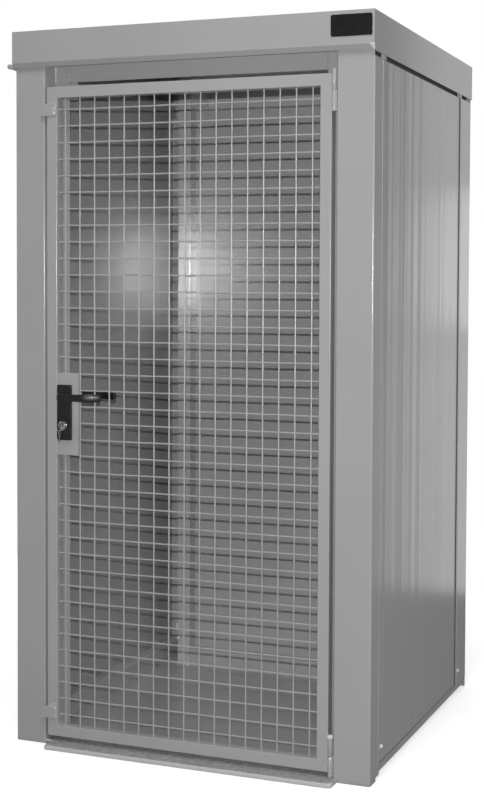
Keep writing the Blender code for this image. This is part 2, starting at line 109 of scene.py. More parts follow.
def coordinates(tree, scale=(1.0, 1.0, 1.0)):
    """The object's own coordinates, multiplied by scale."""
    place = tree.nodes.new("ShaderNodeTexCoord").outputs["Object"]
    return add_node(tree, "ShaderNodeMapping", {"Scale": scale}, {"Vector": place}).outputs["Vector"]


def noise(tree, vector, scale, detail=2.0, roughness=0.5):
    values = {"Scale": scale, "Detail": detail, "Roughness": roughness}
    return add_node(tree, "ShaderNodeTexNoise", values, {"Vector": vector}).outputs["Fac"]


def crystals(tree, vector, scale):
    return add_node(tree, "ShaderNodeTexVoronoi", {"Scale": scale}, {"Vector": vector}).outputs["Color"]


def span(tree, value, low, high, start=0.3, end=0.7):
    """Runs from low to high while value runs from start to end."""
    values = {"From Min": start, "From Max": end, "To Min": low, "To Max": high}
    return add_node(tree, "ShaderNodeMapRange", values, {"Value": value}).outputs["Result"]


def colour_from(tree, shader, value, dark, light, start=0.3, end=0.7):
    """Base colour that runs from dark to light while value runs from start to end."""
    node = tree.nodes.new("ShaderNodeValToRGB")
    for element, position, colour in zip(node.color_ramp.elements, (start, end), (dark, light)):
        element.position = position
        element.color = (*colour, 1.0)
    tree.links.new(value, node.inputs["Fac"])
    tree.links.new(node.outputs["Color"], shader.inputs["Base Color"])


def roughness_from(tree, shader, value, low, high):
    tree.links.new(span(tree, value, low, high), shader.inputs["Roughness"])


def bump(tree, shader, height, strength, distance, under=None):
    """Relief from height, laid over the relief under."""
    links = {"Height": height} if under is None else {"Height": height, "Normal": under}
    node = add_node(tree, "ShaderNodeBump", {"Strength": strength, "Distance": distance}, links)
    tree.links.new(node.outputs["Normal"], shader.inputs["Normal"])
    return node.outputs["Normal"]


def shade(grey, warm=0.0):
    """A grey with a slight tint, in linear values."""
    return (grey * (1.0 + warm), grey, grey * (1.0 - warm))


PAINT = 0.42
PAINT_ROUGH = 0.19


def paint(name, grey=PAINT, roughness=PAINT_ROUGH, wave=None, peel=0.05):
    """Grey powder coat: faint cloudiness, fine orange peel and, where wave is given, the sheet's waviness.

    wave is the scale of that waviness along each axis, and its depth."""
    mat, tree, shader = new_material(name, shade(grey), roughness, specular=0.7)
    here = coordinates(tree)
    clouds = noise(tree, here, scale=2.3, detail=4.0, roughness=0.55)
    colour_from(tree, shader, clouds, shade(grey * 0.965), shade(grey * 1.03))
    patches = noise(tree, here, scale=6.0, detail=3.0)
    roughness_from(tree, shader, patches, roughness - 0.012, roughness + 0.015)
    waviness = None
    if wave is not None:
        scale, depth = wave
        long_waves = noise(tree, coordinates(tree, scale), scale=1.0, roughness=0.45)
        waviness = bump(tree, shader, long_waves, strength=1.0, distance=depth)
    bump(tree, shader, noise(tree, here, scale=520.0), peel, 0.0004, waviness)
    return mat


def galvanised_steel():
    """Zinc-dipped steel: pale crystals and an uneven, dull shine."""
    mat, tree, shader = new_material("galvanised_steel", shade(0.46), 0.34, metallic=0.25)
    here = coordinates(tree)
    flakes = crystals(tree, coordinates(tree, (1.0, 1.0, 0.6)), scale=95.0)
    colour_from(tree, shader, flakes, shade(0.40), shade(0.52, 0.004), start=0.2, end=0.85)
    roughness_from(tree, shader, noise(tree, here, scale=60.0, detail=4.0), 0.32, 0.52)
    bump(tree, shader, noise(tree, here, scale=260.0, detail=3.0), 0.25, 0.0005)
    return mat


def black_plastic(name, grey, roughness, grain):
    mat, tree, shader = new_material(name, shade(grey), roughness)
    here = coordinates(tree)
    patches = noise(tree, here, scale=30.0, detail=3.0)
    colour_from(tree, shader, patches, shade(grey * 0.8), shade(grey * 1.25))
    wear = noise(tree, here, scale=90.0, detail=3.0)
    roughness_from(tree, shader, wear, roughness - 0.05, roughness + 0.06)
    bump(tree, shader, noise(tree, here, grain), 0.22, 0.0003)
    return mat


def bright_metal(name, grey, roughness, grain):
    """Bare metal with brush marks along Z."""
    mat, tree, shader = new_material(name, shade(grey), roughness, metallic=1.0)
    here = coordinates(tree)
    patches = noise(tree, here, scale=40.0, detail=3.0)
    colour_from(tree, shader, patches, shade(grey * 0.9), shade(grey * 1.08))
    wear = noise(tree, here, scale=120.0, detail=3.0)
    roughness_from(tree, shader, wear, roughness - 0.04, roughness + 0.08)
    brushed = noise(tree, coordinates(tree, (grain, grain, grain * 0.1)), scale=1.0)
    bump(tree, shader, brushed, 0.12, 0.0002)
    return mat


grey_paint = paint("grey_powder_coat")
wall_paint = paint("grey_powder_coat_wall", wave=((6.0, 17.0, 0.22), 0.0019))
left_wall_paint = paint("grey_powder_coat_left_wall", roughness=0.42)
inner_paint = paint("grey_powder_coat_inner", wave=((4.0, 4.0, 0.4), 0.0004), peel=0.03)
floor_paint = paint("grey_powder_coat_floor", grey=0.40, roughness=0.24)
weathered_paint = paint("grey_powder_coat_weathered", roughness=0.5)
tube_paint = paint("grey_powder_coat_tube", grey=0.43)
wire_paint = paint("grey_powder_coat_wire", grey=0.43, roughness=0.36, peel=0.12)
# Lighter grey on welds, seam sealant and the rear left post: painted highlight
weld_and_highlight_paint = paint("grey_powder_coat_weld_painted_highlight", grey=0.47, roughness=0.2)
# Darker grey inside the rear posts' hollows: painted shade
hollow_painted_shade = paint("grey_powder_coat_hollow_painted_shade", grey=0.38, roughness=0.42)
# Grey strip under the side walls' foot: painted shadow
wall_foot_shadow_grey = paint("grey_painted_shadow", grey=0.21, roughness=0.5)
# Near black behind the slots under the roof: painted shade
slot_shade_dark = paint("dark_painted_shade", grey=0.10, roughness=0.6)
# Light grey on welds, lug ends and the lower hinge cap: painted highlight
highlight_grey = paint("light_grey_painted_highlight", grey=0.72, roughness=0.16, peel=0.3)
# Light grey on the sill's rolled edge: painted reflection of the bright ground
sill_lip_reflection_grey = paint("sill_lip_painted_reflection", grey=0.66, roughness=0.3)
bolt_steel = paint("bolt_zinc", grey=0.74, roughness=0.34, peel=0.1)
galvanised = galvanised_steel()
black_lever = black_plastic("black_satin_lever", grey=0.018, roughness=0.36, grain=500.0)
black_plate = black_plastic("black_plate_paint", grey=0.010, roughness=0.34, grain=900.0)
chrome = bright_metal("chrome", grey=0.78, roughness=0.16, grain=300.0)
zinc = bright_metal("zinc_plated", grey=0.74, roughness=0.28, grain=500.0)
key_steel = bright_metal("nickel_key", grey=0.52, roughness=0.36, grain=300.0)


# Mesh helpers

def add_object(name, data):
    obj = bpy.data.objects.new(name, data)
    bpy.context.scene.collection.objects.link(obj)
    return obj


def finish_mesh(name, bm, mat, body="container", replaces=(), smooth=STEEL_EDGE):
    """Makes the piece from its mesh, gives it its finish and fixes it to its body."""
    mesh = bpy.data.meshes.new(name)
    bm.to_mesh(mesh)
    bm.free()
    mesh.materials.append(mat)
    if smooth is not None:
        mesh.shade_smooth()
        mesh.set_sharp_from_angle(angle=smooth)
    obj = add_object(name, mesh)
    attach(obj, body)
    if replaces:
        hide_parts(*replaces)
    return obj


def solidify(obj, thickness, offset=-1.0):
    shell = obj.modifiers.new("sheet", "SOLIDIFY")
    shell.thickness = thickness
    shell.offset = offset
    shell.use_even_offset = True
    return shell


def flat_shading(obj):
    """Keeps the large flat faces flat where they meet a round bend."""
    normals = obj.modifiers.new("normals", "WEIGHTED_NORMAL")
    normals.mode = "FACE_AREA"
    normals.weight = 100
    normals.keep_sharp = True


def soften(obj, width, segments=2, limit=50):
    """Rounds the edges that turn by more than limit degrees."""
    edge = obj.modifiers.new("edge", "BEVEL")
    edge.width = width
    edge.segments = segments
    edge.limit_method = "ANGLE"
    edge.angle_limit = math.radians(limit)
    edge.harden_normals = True


def round_edges(bm, edges, radius, segments):
    """Rounds these edges in the mesh itself."""
    bmesh.ops.bevel(bm, geom=edges, offset=radius, offset_type="OFFSET", segments=segments, profile=0.5,
                    affect="EDGES", clamp_overlap=True)


def block(bm, low, high):
    """A plain block between two corners."""
    made = bmesh.ops.create_cube(bm, size=1.0)["verts"]
    size = high - low
    middle = (high + low) / 2
    bmesh.ops.transform(bm, matrix=Matrix.Translation(middle) @ Matrix.Diagonal((*size, 1.0)), verts=made)


def full_turn(sides):
    return [2 * math.pi * k / sides for k in range(sides)]


def arc(centre, radius, start, turn, steps):
    """Points on an arc that begins at start degrees and goes on by turn degrees, both ends included."""
    angles = [math.radians(start + turn * k / steps) for k in range(steps + 1)]
    return [(centre[0] + radius * math.cos(a), centre[1] + radius * math.sin(a)) for a in angles]


def join_rings(bm, one, two):
    """Faces between two rings of vertices; a ring of a single vertex is a tip."""
    sides = max(len(one), len(two))
    for k in range(sides):
        m = (k + 1) % sides
        if len(one) == 1:
            corners = (one[0], two[m], two[k])
        elif len(two) == 1:
            corners = (one[k], one[m], two[0])
        else:
            corners = (one[k], one[m], two[m], two[k])
        bm.faces.new(corners)


def tube(bm, points, radii, sides=8):
    """A round bar through the points, with a radius for each."""
    last = len(points) - 1
    rings = []
    side = None
    for i, (point, radius) in enumerate(zip(points, radii)):
        ahead = (points[min(i + 1, last)] - points[max(i - 1, 0)]).normalized()
        if side is None:
            side = ahead.cross(Vector((0, 0, 1)) if abs(ahead.z) < 0.9 else Vector((1, 0, 0))).normalized()
        else:
            side = (side - ahead * side.dot(ahead)).normalized()
        other = ahead.cross(side)
        rings.append([bm.verts.new(point + (side * math.cos(a) + other * math.sin(a)) * radius)
                      for a in full_turn(sides)])
    for one, two in zip(rings, rings[1:]):
        join_rings(bm, one, two)
    bm.faces.new(list(reversed(rings[0])))
    bm.faces.new(rings[-1])


def turned(bm, profile, x=0.0, y=0.0, sides=28):
    """A profile of (radius, height) points turned about the upright at x, y; returns its vertices."""
    rings = []
    for r, z in profile:
        angles = full_turn(sides) if r > 0.0 else [0.0]
        rings.append([bm.verts.new((x + r * math.cos(a), y + r * math.sin(a), z)) for a in angles])
    for one, two in zip(rings, rings[1:]):
        join_rings(bm, one, two)
    bmesh.ops.recalc_face_normals(bm, faces=bm.faces)
    return [vertex for ring in rings for vertex in ring]


def rounded_plate(bm, low, high, radius):
    """A plate across Y between two corners, with round corners in its outline."""
    left, right, bottom, top = low.x + radius, high.x - radius, low.z + radius, high.z - radius
    rim = []
    for k, centre in enumerate(((right, top), (left, top), (left, bottom), (right, bottom))):
        rim += arc(centre, radius, 90 * k, 90, steps=6)
    front = [bm.verts.new((x, low.y, z)) for x, z in rim]
    back = [bm.verts.new((x, high.y, z)) for x, z in rim]
    bm.faces.new(front)
    bm.faces.new(list(reversed(back)))
    join_rings(bm, back, front)
    bmesh.ops.recalc_face_normals(bm, faces=bm.faces)


def blob(bm, centre, size, turn=Matrix.Identity(4), rough=0.0, detail=2):
    """A rounded lump of these half sizes, slightly uneven, such as a weld."""
    made = bmesh.ops.create_icosphere(bm, subdivisions=detail, radius=1.0)["verts"]
    for vertex in made:
        vertex.co *= 1.0 + random.uniform(-rough, rough)
    matrix = Matrix.Translation(centre) @ turn @ Matrix.Diagonal((*size, 1.0))
    bmesh.ops.transform(bm, matrix=matrix, verts=made)


def bead(bm, start, end, width, lumps):
    """A weld bead: overlapping uneven lumps in a line."""
    along = (end - start) / lumps
    axis = max(range(3), key=lambda k: abs(along[k]))
    for i in range(lumps):
        size = [width * random.uniform(0.85, 1.15)] * 3
        size[axis] = max(along.length * 0.85, width * 0.7)
        blob(bm, start.lerp(end, (i + 0.5) / lumps), size, rough=0.10)


def rounded_path(path, outer, inner, steps=4):
    """Plan path with round corners: of radius outer where it turns left, inner where it turns right."""
    out = [Vector(path[0])]
    for before, corner, after in zip(path, path[1:], path[2:]):
        p, c, n = Vector(before), Vector(corner), Vector(after)
        one, two = (p - c).normalized(), (n - c).normalized()
        r = outer if (c - p).cross(n - c) > 0 else inner
        middle = c + one * r + two * r
        for k in range(steps):
            t = k / steps * math.pi / 2
            out.append(middle - two * r * math.cos(t) - one * r * math.sin(t))
        out.append(c + two * r)
    out.append(Vector(path[-1]))
    return out


# Corner posts

ON_FACE = 0.001


def folded_post(name, node, outline, levels, cut_away, offset, mat, inside, mirrored=False):
    """One folded sheet: the plan outline of a left post, rounded at its folds, by the levels.

    cut_away tells where the sheet is missing, offset is the side that its gauge goes to,
    and inside is the finish of the face that the folds enclose."""
    if mirrored:
        outline = [(BODY_W - x, y) for x, y in outline]
        offset = -offset
    outer, inner = (BEND_OUT, BEND_IN) if offset < 0 else (BEND_IN, BEND_OUT)
    line = rounded_path(outline, outer, inner)
    bm = bmesh.new()
    grid = {}
    for i in range(len(line) - 1):
        for j in range(len(levels) - 1):
            middle = (line[i] + line[i + 1]) / 2
            from_side = BODY_W - middle.x if mirrored else middle.x
            if cut_away(from_side, middle.y, (levels[j] + levels[j + 1]) / 2):
                continue
            corners = []
            for a, b in ((i, j), (i + 1, j), (i + 1, j + 1), (i, j + 1)):
                if (a, b) not in grid:
                    grid[(a, b)] = bm.verts.new(at(line[a].x, line[a].y, levels[b]))
                corners.append(grid[(a, b)])
            bm.faces.new(corners)
    first, second = (mat, inside) if offset < 0 else (inside, mat)
    obj = finish_mesh(name, bm, first, replaces=(node,))
    obj.data.materials.append(second)
    solidify(obj, POST_T, offset).material_offset = 1
    flat_shading(obj)


def front_cut(from_side, y, z):
    """A front post's side flange stops under the roof, and stays off the ground behind the foot."""
    return from_side < ON_FACE and (z > WALL_TOP or (z < FLOOR_UNDER and y > FOOT_DEPTH))


def rear_cut(from_side, y, z):
    """A rear post's side flange is as high as the wall."""
    return from_side < ON_FACE and (z > WALL_TOP or z < WALL_BOTTOM)


def front_outline(face):
    return ((0.0, FRONT_FLANGE), (0.0, FOOT_DEPTH), (0.0, 0.0), (face, 0.0),
            (face, REBATE), (face + STOP, REBATE))


def rear_outline(face):
    return ((0.0, BODY_D - REAR_FLANGE), (0.0, BODY_D), (face + REAR_LIP, BODY_D),
            (face + REAR_LIP, BODY_D - REAR_RETURN), (face, BODY_D - REAR_RETURN))


def corner_posts():
    # The rear posts' insides in the darker grey are painted shade of their hollows
    front = (0.0, FLOOR_UNDER, WALL_TOP, POST_TOP), front_cut, -1.0
    rear = (0.0, WALL_BOTTOM, WALL_TOP, POST_TOP), rear_cut, 1.0
    folded_post("post_front_left", "front_left_post", front_outline(LOCK_FACE), *front,
                grey_paint, grey_paint)
    folded_post("post_front_right", "front_right_post", front_outline(HINGE_FACE), *front,
                grey_paint, grey_paint, mirrored=True)
    # The rear left post's outer face in the lighter weld grey is painted highlight
    folded_post("post_rear_left", "rear_left_post", rear_outline(LOCK_FACE), *rear,
                weld_and_highlight_paint, hollow_painted_shade)
    folded_post("post_rear_right", "rear_right_post", rear_outline(HINGE_FACE), *rear,
                grey_paint, hollow_painted_shade, mirrored=True)


corner_posts()


# Roof tray

roof_low, roof_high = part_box("roof")
ROOF_T = 0.002
ROOF_BEND = 0.0028
SIDE_FASCIA = 0.1135
FRONT_FASCIA = 0.095
FRONT_HEM = 0.1085
FASCIA_FOLD = 0.012


def roof_tray():
    """Roof sheet with a fascia on every side; the front one is folded back along its lower edge."""
    left, right = roof_low.x, roof_high.x
    front, rear = roof_low.y, roof_high.y
    fold_z, hem_z, edge_z = (roof_high.z - drop for drop in (FRONT_FASCIA, FRONT_HEM, SIDE_FASCIA))
    hem_y = front + FASCIA_FOLD
    step_y = hem_y + SIDE_FASCIA - FRONT_HEM
    bm = bmesh.new()

    def line(z, spots):
        return [bm.verts.new((x, y, z)) for x, y in spots]

    top = line(roof_high.z, ((left, front), (right, front), (right, rear), (left, rear)))
    fold = line(fold_z, ((left, front), (right, front)))
    hem = line(hem_z, ((left, hem_y), (right, hem_y)))
    low = line(edge_z, ((left, step_y), (right, step_y), (right, rear), (left, rear)))
    for corners in (top,
                    (top[0], fold[0], fold[1], top[1]),
                    (fold[0], hem[0], hem[1], fold[1]),
                    (top[1], fold[1], hem[1], low[1], low[2], top[2]),
                    (top[2], low[2], low[3], top[3]),
                    (top[3], low[3], low[0], hem[0], fold[0], top[0])):
        bm.faces.new(corners)
    bmesh.ops.recalc_face_normals(bm, faces=bm.faces)
    round_edges(bm, [e for e in bm.edges if len(e.link_faces) == 2], ROOF_BEND, 3)
    for face in bm.faces:
        face.material_index = 1 if face.calc_center_median().z > roof_high.z - 0.0005 else 0
    obj = finish_mesh("roof_tray", bm, grey_paint, replaces=("roof",))
    obj.data.materials.append(weathered_paint)
    solidify(obj, ROOF_T)
    flat_shading(obj)


roof_tray()


# Welded mesh of the door

lock_low, lock_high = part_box("door_lock_stile")
hinge_low, hinge_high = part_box("door_hinge_stile")
top_rail_low, top_rail_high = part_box("door_top_rail")
bottom_rail_low, bottom_rail_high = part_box("door_bottom_rail")
case_low, case_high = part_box("lock_case")
mesh_low, mesh_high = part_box("door_mesh_upper")
OPEN_LEFT, OPEN_RIGHT = lock_high.x, hinge_low.x
OPEN_BOTTOM, OPEN_TOP = bottom_rail_high.z, top_rail_low.z
MESH_Y = (mesh_low.y + mesh_high.y) / 2
PITCH = 0.050
MESH_LEFT = 0.0206
MESH_TOP = 0.0327
UPRIGHTS = 17
CROSSES = 38
WIRE_R = 0.0025
WIRE_STEP = 0.0016
WIRE_GAP = 0.0004
CASE_CLEAR = 0.004
WELD_R = 0.0034


def wire_path(start, end, steps, sway):
    """Points along a wire that isn't quite straight."""
    phase = [random.uniform(0, 6.28) for _ in range(4)]
    waves = [random.uniform(0.3, 1.0) * sway for _ in range(2)]
    axis = max(range(3), key=lambda k: abs((end - start)[k]))
    sideways = [k for k in range(3) if k != axis]
    path = []
    for i in range(steps + 1):
        share = i / steps
        point = start.lerp(end, share)
        freedom = math.sin(math.pi * share) ** 0.3 if 0 < share < 1 else 0.0
        for n, k in enumerate(sideways):
            drift = math.sin(share * 9.0 + phase[n]) + 0.5 * math.sin(share * 23.0 + phase[n + 2])
            point[k] += freedom * waves[n] * drift
        path.append(point)
    return path


def door_wires():
    """Upright wires in front and cross wires behind, stopping at the lock case, with a weld at each end."""
    bm = bmesh.new()
    ends = []

    def wire(start, end, steps, sway):
        path = wire_path(start, end, steps, sway)
        tube(bm, path, [WIRE_R] * len(path))
        ends.extend((start, end))

    bottom, top = OPEN_BOTTOM + WIRE_GAP, OPEN_TOP - WIRE_GAP
    uprights = [OPEN_LEFT + MESH_LEFT + i * PITCH for i in range(UPRIGHTS)]
    for x in uprights:
        fields = [(bottom, top)]
        if x < case_high.x:
            fields = [(bottom, case_low.z - WIRE_GAP), (case_high.z + WIRE_GAP, top)]
        for low, high in fields:
            steps = max(4, int((high - low) / 0.04))
            y = MESH_Y - WIRE_STEP
            wire(Vector((x, y, low)), Vector((x, y, high)), steps, 0.0003)
    for i in range(CROSSES):
        z = OPEN_TOP - MESH_TOP - i * PITCH
        start = OPEN_LEFT + WIRE_GAP
        if case_low.z - CASE_CLEAR < z < case_high.z + CASE_CLEAR:
            start = uprights[1] - WIRE_R
        y = MESH_Y + WIRE_STEP
        wire(Vector((start, y, z)), Vector((OPEN_RIGHT - WIRE_GAP, y, z)), 24, 0.0004)
    finish_mesh("door_wires", bm, wire_paint, "door", replaces=("door_mesh_upper", "door_mesh_lower"))
    bm = bmesh.new()
    for point in ends:
        blob(bm, point, (WELD_R, WELD_R, WELD_R), rough=0.12, detail=1)
    # Welds in the lighter grey: painted highlight
    finish_mesh("door_wire_welds", bm, weld_and_highlight_paint, "door")


door_wires()


# Lock set

esc_low, esc_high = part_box("escutcheon_outer")
spindle_low, spindle_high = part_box("lever_spindle")
HANDLE_X = (esc_low.x + esc_high.x) / 2
HANDLE_Z = (spindle_low.z + spindle_high.z) / 2


def escutcheon(name, node):
    bm = bmesh.new()
    rounded_plate(bm, *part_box(node), radius=0.005)
    soften(finish_mesh(name, bm, black_lever, "door", (node,)), 0.0022, 3)


escutcheon("escutcheon_long_outer", "escutcheon_outer")
escutcheon("escutcheon_long_inner", "escutcheon_inner")


def squared(value):
    """Draws a cosine or sine towards the corners, for a section between round and square."""
    return math.copysign(abs(value) ** 0.8, value)


def lever_grip(name, node, toward):
    """Lever bent from one bar: neck on the spindle, elbow, grip and a tip turned back to the leaf.

    toward is the side on which the leaf lies, 1 or -1 along Y."""
    low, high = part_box(node)
    grip_y = (low.y if toward > 0 else high.y) + toward * 0.006
    neck_y = high.y if toward > 0 else low.y
    tip_x = high.x - 0.006
    # Sections along the bar: x and y of the middle, half the height, half the depth
    sections = ((HANDLE_X, neck_y, 0.0100, 0.0098),
                (HANDLE_X, neck_y - toward * 0.010, 0.0098, 0.0080),
                (HANDLE_X, grip_y + toward * 0.016, 0.0104, 0.0066),
                (HANDLE_X + 0.002, grip_y + toward * 0.007, 0.0112, 0.0060),
                (HANDLE_X + 0.008, grip_y + toward * 0.0015, 0.0112, 0.0060),
                (HANDLE_X + 0.018, grip_y, 0.0106, 0.0060),
                (HANDLE_X + 0.040, grip_y, 0.0104, 0.0058),
                (tip_x - 0.052, grip_y, 0.0112, 0.0058),
                (tip_x - 0.042, grip_y + toward * 0.0022, 0.0124, 0.0060),
                (tip_x - 0.026, grip_y + toward * 0.0108, 0.0130, 0.0060),
                (tip_x - 0.010, grip_y + toward * 0.0200, 0.0122, 0.0058),
                (tip_x, grip_y + toward * 0.0270, 0.0098, 0.0050))
    places = [Vector(section[:2]) for section in sections]
    last = len(sections) - 1
    bm = bmesh.new()
    rings = []
    for i, (x, y, half, deep) in enumerate(sections):
        ahead = (places[min(i + 1, last)] - places[max(i - 1, 0)]).normalized()
        across = Vector((-ahead.y, ahead.x, 0.0))
        middle = Vector((x, y, HANDLE_Z))
        rings.append([bm.verts.new(middle + across * squared(math.cos(a)) * deep
                                   + Vector((0, 0, squared(math.sin(a)) * half))) for a in full_turn(20)])
    for one, two in zip(rings, rings[1:]):
        join_rings(bm, one, two)
    bm.faces.new(rings[0])
    bm.faces.new(rings[-1])
    bmesh.ops.recalc_face_normals(bm, faces=bm.faces)
    obj = finish_mesh(name, bm, black_lever, "handle", (node,), smooth=ROUND_EDGE)
    soften(obj, 0.0022, 3, 60)
    fine = obj.modifiers.new("fine", "SUBSURF")
    fine.levels = fine.render_levels = 1


lever_grip("lever_grip_outer", "lever_outer", toward=1)
lever_grip("lever_grip_inner", "lever_inner", toward=-1)


# Blank plate on the fascia

def blank_plate():
    bm = bmesh.new()
    rounded_plate(bm, *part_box("blank_plate"), radius=0.006)
    plate = finish_mesh("fascia_plate_blank", bm, black_plate, "container", ("blank_plate",))
    soften(plate, 0.0005)


blank_plate()


# Floor plate's ends inside the corner posts

floor_low, floor_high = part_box("floor_plate")
FLOOR_GAP = 0.0006


def floor_ends():
    """Small sheets that carry the floor on into the hollow of each corner post."""
    bm = bmesh.new()
    left = (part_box("base_rail_left")[1].x + FLOOR_GAP, LEFT_X + LOCK_FACE - POST_T - FLOOR_GAP)
    right = (RIGHT_X - HINGE_FACE + POST_T + FLOOR_GAP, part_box("base_rail_right")[0].x - FLOOR_GAP)
    front = (FRONT_Y + POST_T + FLOOR_GAP, floor_low.y - FLOOR_GAP)
    rear = (floor_high.y + FLOOR_GAP, REAR_Y - POST_T - FLOOR_GAP)
    for x in (left, right):
        for y in (front, rear):
            block(bm, Vector((x[0], y[0], floor_low.z)), Vector((x[1], y[1], floor_high.z)))
    finish_mesh("floor_plate_ends", bm, floor_paint)


floor_ends()


# Door frame and header

FRAME_NODES = ("door_lock_stile", "door_hinge_stile", "door_top_rail", "door_bottom_rail")
EDGE_R = 0.0026
LOWER_LEFT_R = 0.007
LOWER_RIGHT_R = 0.004
UPPER_R = 0.003


def door_frame():
    """The four tubes welded into one frame, its mitres ground smooth."""
    left, right = lock_low.x, hinge_high.x
    bottom, top = bottom_rail_low.z, top_rail_high.z
    corners = ((left + LOWER_LEFT_R, bottom + LOWER_LEFT_R, LOWER_LEFT_R, 180),
               (right - LOWER_RIGHT_R, bottom + LOWER_RIGHT_R, LOWER_RIGHT_R, 270),
               (right - UPPER_R, top - UPPER_R, UPPER_R, 0),
               (left + UPPER_R, top - UPPER_R, UPPER_R, 90))
    opening = ((OPEN_LEFT, OPEN_BOTTOM), (OPEN_RIGHT, OPEN_BOTTOM),
               (OPEN_RIGHT, OPEN_TOP), (OPEN_LEFT, OPEN_TOP))
    bm = bmesh.new()
    rims = []
    for y in (lock_low.y, lock_high.y):
        arcs = [[bm.verts.new((px, y, pz)) for px, pz in arc((x, z), r, first, 90, steps=4)]
                for x, z, r, first in corners]
        holes = [bm.verts.new((x, y, z)) for x, z in opening]
        for i in range(4):
            after = (i + 1) % 4
            bm.faces.new([holes[i]] + arcs[i])
            bm.faces.new((holes[i], arcs[i][-1], arcs[after][0], holes[after]))
        rims.append(([vertex for bend in arcs for vertex in bend], holes))
    for front, back in zip(*rims):
        join_rings(bm, front, back)
    bmesh.ops.recalc_face_normals(bm, faces=bm.faces)
    soften(finish_mesh("door_frame", bm, tube_paint, "door", replaces=FRAME_NODES), EDGE_R, 3)


door_frame()

header_low, header_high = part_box("front_header")
STOP_LEFT = LEFT_X + LOCK_FACE + STOP
STOP_RIGHT = RIGHT_X - HINGE_FACE - STOP
HEADER_GAP = 0.0003
GUSSET = 0.026
GUSSET_LAP = 0.010
GUSSET_DROP = 0.052
GUSSET_RISE = 0.030


def header_plate():
    """Plate over the door between the stop flanges, with a short stiffener on the lock side."""
    bm = bmesh.new()
    block(bm, Vector((STOP_LEFT + HEADER_GAP, header_low.y, header_low.z)),
          Vector((STOP_RIGHT - HEADER_GAP, header_high.y, header_high.z)))
    stop_y = FRONT_Y + REBATE
    block(bm, Vector((STOP_LEFT - GUSSET_LAP, stop_y + POST_T + HEADER_GAP, header_low.z - GUSSET_DROP)),
          Vector((STOP_LEFT + GUSSET, stop_y + 2 * POST_T, header_low.z + GUSSET_RISE)))
    obj = finish_mesh("header_plate", bm, grey_paint, replaces=("front_header",))
    soften(obj, 0.0008)


header_plate()


# Weld beads

def header_welds():
    """Short runs in the corners of the recess over the door, in light grey as painted highlight."""
    bm = bmesh.new()
    left = LEFT_X + LOCK_FACE + 0.0012
    right = RIGHT_X - HINGE_FACE - 0.0012
    corner_y = FRONT_Y + REBATE - 0.0006
    foot = header_low.z

    def run(x, low, high, width, lumps):
        bead(bm, Vector((x, corner_y, foot + low)), Vector((x, corner_y, foot + high)), width, lumps)

    run(left, 0.004, 0.016, width=0.0024, lumps=3)
    run(left, 0.022, 0.048, width=0.0024, lumps=6)
    for rise, size in ((0.005, 0.0022), (0.010, 0.0026), (0.022, 0.0020)):
        blob(bm, Vector((STOP_LEFT, header_low.y, foot + rise)), (size, 0.0018, size), rough=0.15)
    run(right, 0.003, 0.052, width=0.0018, lumps=10)
    blob(bm, Vector((right, corner_y, foot + 0.047)), (0.004, 0.003, 0.003), rough=0.15)
    finish_mesh("header_welds", bm, highlight_grey)


header_welds()


def lug_welds():
    """Beads that hold the two stop lugs to the lock stile, with spatter, in a lighter grey as painted
    highlight, and a bright end on each.
    """
    ends = []
    bm = bmesh.new()
    for node in ("upper_stop_lug", "lower_stop_lug"):
        low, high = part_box(node)
        face = high.y - 0.0006
        beside = high.x + 0.0008
        over = high.z + 0.0006
        bead(bm, Vector((beside, face, low.z + 0.002)), Vector((beside, face, high.z - 0.002)), 0.0030, 9)
        bead(bm, Vector((high.x - 0.022, face, over)), Vector((high.x - 0.002, face, over)), 0.0024, 5)
        end_z = low.z + 0.008 if node == "upper_stop_lug" else high.z - 0.004
        ends.append(Vector((high.x - 0.0022, low.y - 0.0002, end_z)))
        for _ in range(5):
            x = high.x + random.uniform(-0.004, 0.004)
            z = high.z + random.uniform(-0.018, 0.003)
            blob(bm, Vector((x, face - 0.0006, z)), [random.uniform(0.0010, 0.0022)] * 3, rough=0.15)
    finish_mesh("lug_welds", bm, weld_and_highlight_paint, "door")
    bm = bmesh.new()
    # Light grey lumps at the lugs' ends: painted highlight
    for spot in ends:
        blob(bm, spot, (0.0046, 0.0026, 0.0050), rough=0.12)
        blob(bm, spot + Vector((-0.002, 0.0, 0.013)), (0.0026, 0.0018, 0.0030), rough=0.15)
    finish_mesh("lug_weld_painted_highlights", bm, highlight_grey, "door")


lug_welds()


# Hinges

BARREL_R = 0.0065
PIN_R = 0.0034
CUP_BORE_R = 0.0040
CAP_R = 0.0084
WING_T = 0.009
WING_INSET = 0.004
WING_ROOT = 0.0046


def weld_column(bm, x, y, low, high, size, heights, rough, count):
    """Lumps one over the other along a hinge half, each with a half height drawn from heights."""
    inset = 0.006
    for k in range(count):
        z = low + inset + (high - low - 2 * inset) * k / (count - 1)
        blob(bm, Vector((x, y, z)), (*size, random.uniform(*heights)), rough=rough)


